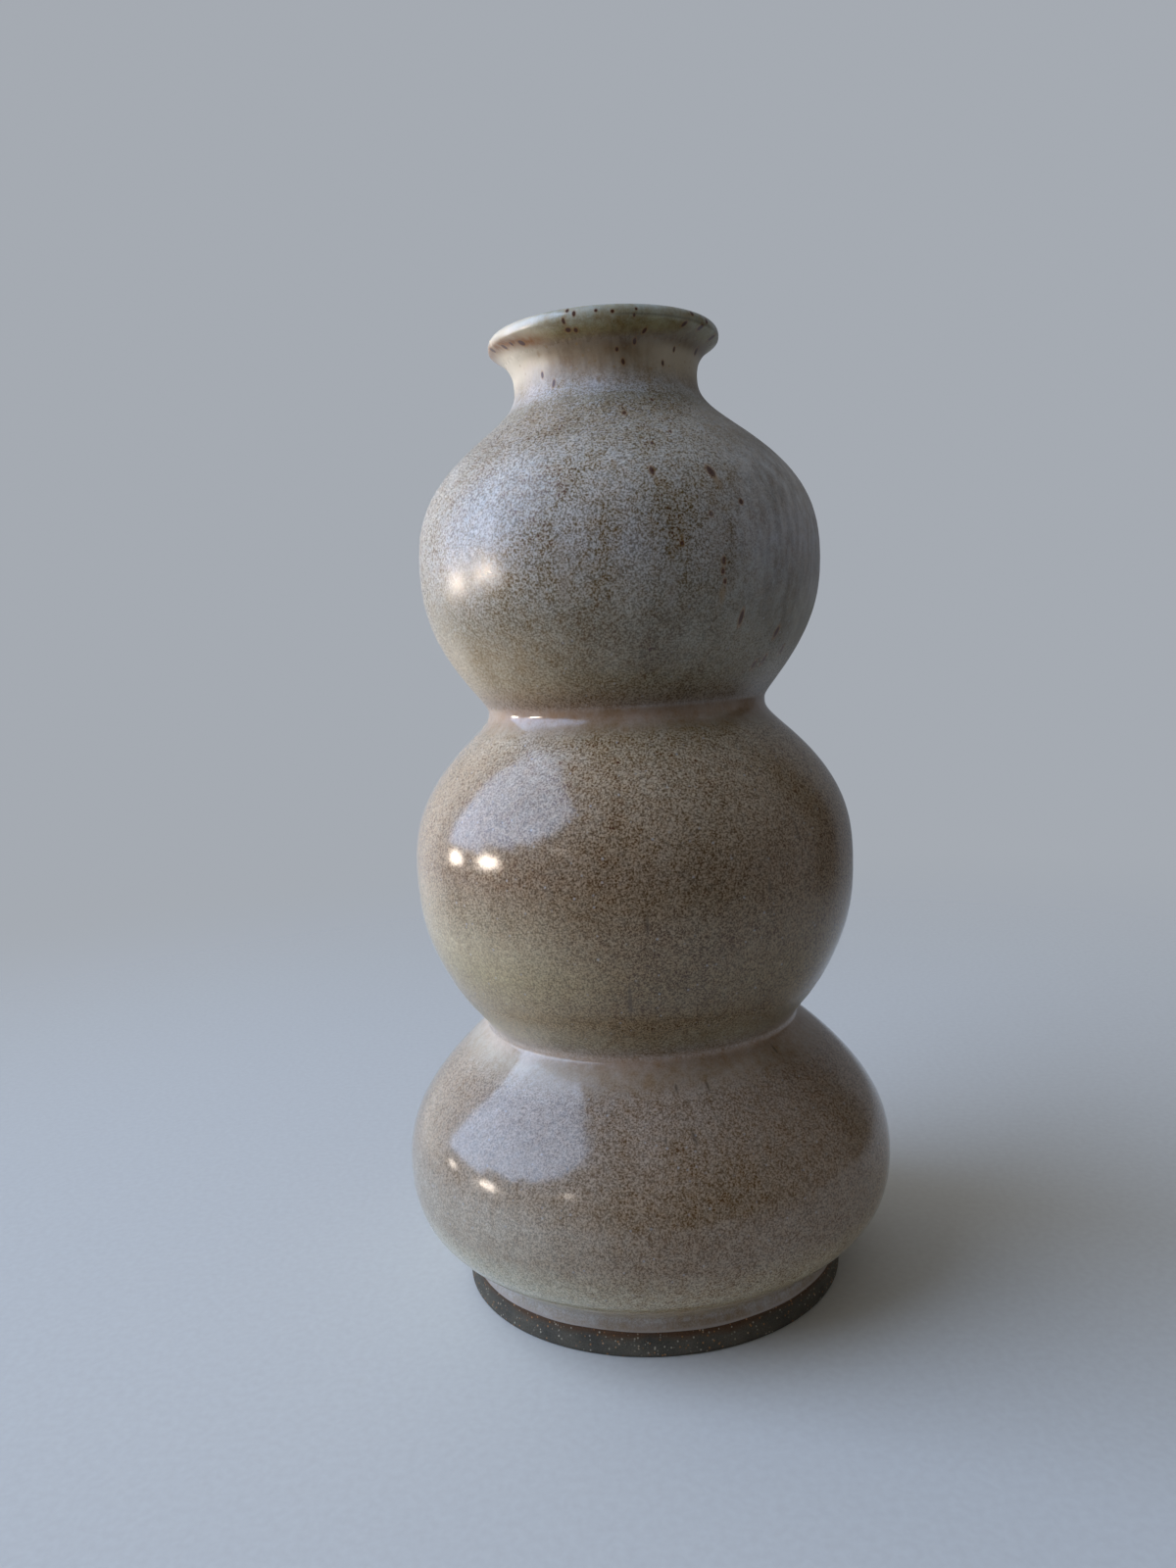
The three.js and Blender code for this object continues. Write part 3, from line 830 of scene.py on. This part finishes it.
# Its relief: curds stand up a little, more so on the upper bulb, level lines from the fingers and the rib
# show through, most of all on the lip, and burst bubbles leave shallow pits.
RELIEF, LEVEL_LINE, PIT = 0.024 * MM, 0.5 * MM, 0.85 * MM
LINES_FROM = (232 * MM, 250 * MM)
level_lines = noise(tree, put(tree, "CombineXYZ", {2: height}), LEVEL_LINE, 2)
line_relief = product(tree, level_lines, scaled(tree, height, *LINES_FROM, 0.04, 0.3))
pit = put(tree, "TexVoronoi", {"Vector": place, "Scale": 1 / PIT})
pit_kind = put(tree, "SeparateColor", {0: pit.outputs["Color"]})
pit_dot = eased(tree, pit.outputs["Distance"], 0.26, 0.05)
pitted = product(tree, pit_dot, scaled(tree, pit_kind, 0.3, 1, 0, 1))
curd_relief = product(tree, curd_share, scaled(tree, height, *UPPER, 0.11, 0.25))
raised = put(tree, "Math", {0: curd_relief, 1: line_relief})
relief_height = put(tree, "Math", {0: raised, 1: product(tree, pitted, curdling)}, operation="SUBTRACT")
relief = put(tree, "Bump", {"Strength": 1.0, "Distance": RELIEF, "Height": relief_height})

# It is glossiest where it pooled, and satin where it has run and on each curd. A bloom of fine crystals in
# the surface gives a soft haze round every highlight.
RUN_SATIN, HAZE, HAZE_ROUGHNESS = 0.5, 0.4, 0.45
run_satin = put(tree, "Math", {0: bulb_run, 1: RUN_SATIN, 2: glossing}, operation="MULTIPLY_ADD")
curd_satin = product(tree, curd_share, scaled(tree, height, *UPPER, 0.03, 0.13))
shine = put(tree, "Math", {0: curd_satin, 1: run_satin}, use_clamp=True)
surface = put(
    tree, "BsdfPrincipled",
    {
        "Base Color": finished, "Roughness": shine, "IOR": 1.52, "Normal": relief, "Coat Weight": HAZE,
        "Coat Roughness": HAZE_ROUGHNESS,
    },
)
put(tree, "OutputMaterial", {0: surface})

body_glaze.data.materials.append(speckled_glaze)
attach(body_glaze, "root")
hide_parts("body_glaze")

# Rim glaze
# A second, white glaze over the neck, the lip and the throat, which were dipped again upside down. It melted
# into the body glaze below it, so both are one skin, and broke to rust along the edge of the lip.

rim_glaze = turn("rim_glaze", under(neck, 0), under(neck, glaze_thickness - HAIRLINE)[::-1])
rim_glaze.data.materials.append(speckled_glaze)
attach(rim_glaze, "root")
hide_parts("rim_glaze")

# Floor
# A wide sheet of pale card that the vase stands on. It fades out all round, and from below it lets the view
# through.

FLOOR_REACH = 0.9
FADE_FROM, FADE_TO = 0.12, 0.7
floor_mesh = bpy.data.meshes.new("floor")
floor_corners = [(x * FLOOR_REACH, y * FLOOR_REACH, 0) for x, y in ((-1, -1), (1, -1), (1, 1), (-1, 1))]
floor_mesh.from_pydata(floor_corners, [], [(0, 1, 2, 3)])
floor = bpy.data.objects.new("floor", floor_mesh)
bpy.context.scene.collection.objects.link(floor)
card = finish("pale_card")
tree = card.node_tree
place = put(tree, "TexCoord", {}).outputs["Object"]
FIBRE = 2 * MM
fibre = noise(tree, place, FIBRE, 3)
shade = put(tree, "ValToRGB", {0: fibre}, stops=[(0.3, "#d0cdc7"), (0.7, "#d5d3cd")])
surface = put(tree, "BsdfPrincipled", {"Base Color": shade, "Roughness": 0.9, "Specular IOR Level": 0.2})
through = put(tree, "BsdfTransparent", {})
backs = put(tree, "NewGeometry", {}).outputs["Backfacing"]
from_middle = put(tree, "VectorMath", {0: place}, operation="LENGTH").outputs["Value"]
fade = eased(tree, from_middle, FADE_FROM, FADE_TO)
unseen = put(tree, "Math", {0: fade, 1: backs}, operation="MAXIMUM")
put(tree, "OutputMaterial", {0: put(tree, "MixShader", {0: unseen, 1: surface, 2: through})})
floor_mesh.materials.append(card)

# Light
# A tall cool soft panel on the left, small warm ones with grids low beside it, and a pale room round the
# vase. The room is bright behind on the left, dim on the viewer's side and dark in a band on the right.


def panel(name, middle, width, tall, shade, radiance, aim=(0, 0, 0.13), half_beam=math.pi / 2):
    """A soft panel that faces a place on the vase. Radiance is what its surface shows from there, so its
    power follows its size, and the beam that a grid in front of it leaves."""
    light = bpy.data.lights.new(name, "AREA")
    light.shape = "RECTANGLE"
    light.size, light.size_y = width, tall
    light.color = linear(shade)[:3]
    light.spread = 2 * half_beam
    light.energy = radiance * math.pi * width * tall * (1 - half_beam / math.tan(half_beam))
    lamp = bpy.data.objects.new(name, light)
    bpy.context.scene.collection.objects.link(lamp)
    lamp.location = middle
    lamp.rotation_euler = (Vector(aim) - Vector(middle)).to_track_quat("-Z", "Y").to_euler()
    lamp.visible_camera = False


def between(corners, height):
    """How far out a slanted edge is at a height. Its corners are pairs of height and distance, from below."""
    for (low, start), (high, end) in zip(corners, corners[1:]):
        if height <= high:
            return start + (end - start) * (height - low) / (high - low)


# The tall panel has a slanted outline, so it is hung as level strips. Its edges are given in the plane that
# it hangs in, as height and distance towards the back. It is dimmer above.
PANEL_SIDE, PANEL_LOW, PANEL_HIGH, STRIPS = -1.35, 0.28, 3.05, 16
BRIGHT, DIMMER, DIM_FROM, DIM_OVER = 5, 1.3, 0.5, 1.2
FRONT_EDGE = (
    (0.28, 0.05), (0.4, -0.33), (0.62, -0.9), (1.1, -1.38), (1.95, -1.72), (2.5, -1.8), (2.76, -0.9),
    (3.05, -0.1),
)
BACK_EDGE = ((0.28, 0.45), (1, 0.5), (1.2, 0.62), (2.4, 0.68), (2.9, 0.5), (3.05, 0.4))
strip_tall = (PANEL_HIGH - PANEL_LOW) / STRIPS
for number in range(STRIPS):
    strip_height = PANEL_LOW + (number + 0.5) * strip_tall
    front, back = between(FRONT_EDGE, strip_height), between(BACK_EDGE, strip_height)
    strip_middle = (PANEL_SIDE, (front + back) / 2, strip_height)
    straight_across = (0, strip_middle[1], strip_height)
    strip_radiance = BRIGHT - DIMMER * smooth((strip_height - DIM_FROM) / DIM_OVER)
    panel(
        f"tall_panel_{number}", strip_middle, back - front, strip_tall, "#c0d7fd", strip_radiance,
        straight_across,
    )

# The low panels stand in the same plane. Each has its place, its size, its radiance, the height on the vase
# that it is aimed at, and half the angle of its beam in degrees.
for name, middle_y, middle_z, width, tall, radiance, aim_height, half_beam in (
    ("low_panel_front", -0.28, 0.205, 0.4, 0.12, 88, 0.19, 8),
    ("low_panel_back", 0.3, 0.16, 0.4, 0.12, 90, 0.19, 5.6),
    ("low_panel_right", -1.75, 0.7, 0.34, 0.12, 14, 0.02, 4),
):
    panel(
        name, (PANEL_SIDE, middle_y, middle_z), width, tall, "#ffeedd", radiance, (0, 0, aim_height),
        math.radians(half_beam),
    )

# The room's colour goes round the vase by azimuth, 0 on the viewer's side and 90 on the right.
ROOM_GLOW = 1.2
world = bpy.data.worlds.new("pale_room")
bpy.context.scene.world = world
world.use_nodes = True
tree = world.node_tree
tree.nodes.clear()
facing = put(tree, "TexCoord", {}).outputs["Generated"]
axes = put(tree, "SeparateXYZ", {0: facing})
towards = product(tree, axes.outputs["Y"], -1)
round_angle = put(tree, "Math", {0: axes.outputs["X"], 1: towards}, operation="ARCTAN2")
round_share = scaled(tree, round_angle, -math.pi, math.pi, 0, 1)


def stops_by_azimuth(*stops):
    return [((azimuth + 180) / 360, shade) for azimuth, shade in stops]


room = put(
    tree, "ValToRGB", {0: round_share},
    stops=stops_by_azimuth(
        (-180, "#9da0a6"), (-162, "#aeb1b6"), (-150, "#c8cacd"), (-138, "#ffffff"), (-120, "#ffffff"),
        (-106, "#999b9f"), (-40, "#6e7172"), (-25, "#4f4e49"), (45, "#4f4e49"), (70, "#727375"),
        (99, "#727375"), (107, "#2f2e2d"), (122, "#2f2e2d"), (132, "#666a70"), (165, "#63666b"),
        (180, "#9da0a6"),
    ),
)
up_share = eased(tree, axes.outputs["Z"], 0.5, 0.9)
roofed = painted(tree, up_share, room, "#818487")
seen_by_eye = put(tree, "LightPath", {}).outputs["Is Camera Ray"]
plain = painted(tree, seen_by_eye, roofed, "#989da4")
glow = put(tree, "Background", {"Color": plain, "Strength": ROOM_GLOW})
put(tree, "OutputWorld", {0: glow})
bpy.context.scene.view_settings.view_transform = "Standard"

# Camera
# It stands close to the vase, a little above its middle, and looks slightly down, as in the photograph.

LENS_PIXELS, LONG_SIDE = 1176.72, 1600  # focal length and the longer side of the frame, in its pixels
SENSOR = 36  # millimetres
EYE = Vector((0, -0.31738, 0.17165))
ROLL, PITCH, YAW = math.radians(3.14), math.radians(-6.33), math.radians(-2.09)
across = Vector((math.cos(YAW), -math.sin(YAW), 0))
level_ahead = Vector((math.sin(YAW), math.cos(YAW), 0))
upright = Vector((0, 0, 1))
ahead = math.cos(PITCH) * level_ahead + math.sin(PITCH) * upright
above = -math.sin(PITCH) * level_ahead + math.cos(PITCH) * upright
right = math.cos(ROLL) * across - math.sin(ROLL) * above
top = math.sin(ROLL) * across + math.cos(ROLL) * above
camera_data = bpy.data.cameras.new("camera")
camera_data.sensor_width = SENSOR
camera_data.lens = SENSOR * LENS_PIXELS / LONG_SIDE
camera_data.clip_start = 0.01
camera = bpy.data.objects.new("camera", camera_data)
bpy.context.scene.collection.objects.link(camera)
camera.matrix_world = Matrix((
    (right.x, top.x, -ahead.x, EYE.x),
    (right.y, top.y, -ahead.y, EYE.y),
    (right.z, top.z, -ahead.z, EYE.z),
    (0, 0, 0, 1),
))
bpy.context.scene.camera = camera
